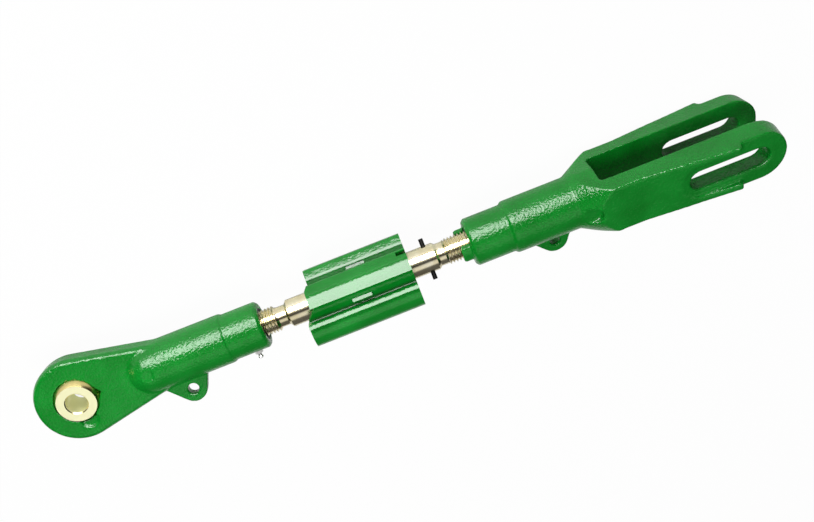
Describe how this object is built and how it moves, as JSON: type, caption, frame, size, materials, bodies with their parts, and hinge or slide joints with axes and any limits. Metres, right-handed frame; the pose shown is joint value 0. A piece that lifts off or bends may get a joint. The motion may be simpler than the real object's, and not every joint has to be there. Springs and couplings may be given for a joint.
{
  "type": "levelling box",
  "caption": "Adjustable lift link with a swivelling ball eye, a double-ended screw with a sliding sheet handle, and a slotted fork end.",
  "frame": {"origin": "centre of the ball bush's pin hole", "axes": "+X along the screw from the eye to the fork, +Z normal to the fork's arms, +Y completes the right-handed frame"},
  "size_m": [0.8364, 0.0981, 0.101],
  "materials": {
    "casting_paint": "gloss green paint over rough cast iron",
    "handle_paint": "gloss green paint over bent sheet steel",
    "screw_zinc": "bright yellow zinc plating on turned steel",
    "ball_zinc": "pale gold plating on a turned ball",
    "pin_black": "black oiled spring steel",
    "fitting_steel": "bright zinc plating",
    "seal_rubber": "matt black rubber"
  },
  "bodies": {
    "screw": {"screw": "screw_zinc", "spring_pin": "pin_black"},
    "eye_seal": {"eye_seal_ring": "seal_rubber"},
    "eye_end": {"eye_casting": "casting_paint", "eye_grease_fitting": "fitting_steel"},
    "ball": {"ball_bush": "ball_zinc"},
    "fork_seal": {"fork_seal_ring": "seal_rubber"},
    "fork_end": {"fork_casting": "casting_paint", "fork_grease_fitting": "fitting_steel"},
    "handle": {"handle_upper_half": "handle_paint", "handle_lower_half": "handle_paint"}
  },
  "joints": [
    {"name": "eye_travel", "type": "slide", "parent": "screw", "child": "eye_seal", "axis": [-1, 0, 0], "range_m": [-0.0219, 0.0655]},
    {"name": "eye_turn", "type": "hinge", "parent": "eye_seal", "child": "eye_end", "pos_m": [0.15, 0, 0], "axis": [1, 0, 0], "range_deg": [-2160, 6480]},
    {"name": "fork_travel", "type": "slide", "parent": "screw", "child": "fork_seal", "axis": [1, 0, 0], "range_m": [-0.0219, 0.0655]},
    {"name": "fork_turn", "type": "hinge", "parent": "fork_seal", "child": "fork_end", "pos_m": [0.5, 0, 0], "axis": [1, 0, 0], "range_deg": [-2160, 6480]},
    {"name": "ball_swivel", "type": "hinge", "parent": "eye_end", "child": "ball", "pos_m": [0, 0, 0], "axis": [1, 0, 0], "range_deg": [-33, 17]},
    {"name": "handle_slide", "type": "slide", "parent": "screw", "child": "handle", "axis": [1, 0, 0], "range_m": [-0.023, 0.032]}
  ],
  "couplings": [
    {"joint": "eye_travel", "follows": "eye_turn", "m_per_rad": 0.00057773},
    {"joint": "fork_travel", "follows": "eye_turn", "m_per_rad": 0.00057773},
    {"joint": "fork_turn", "follows": "eye_turn", "ratio": 1}
  ]
}
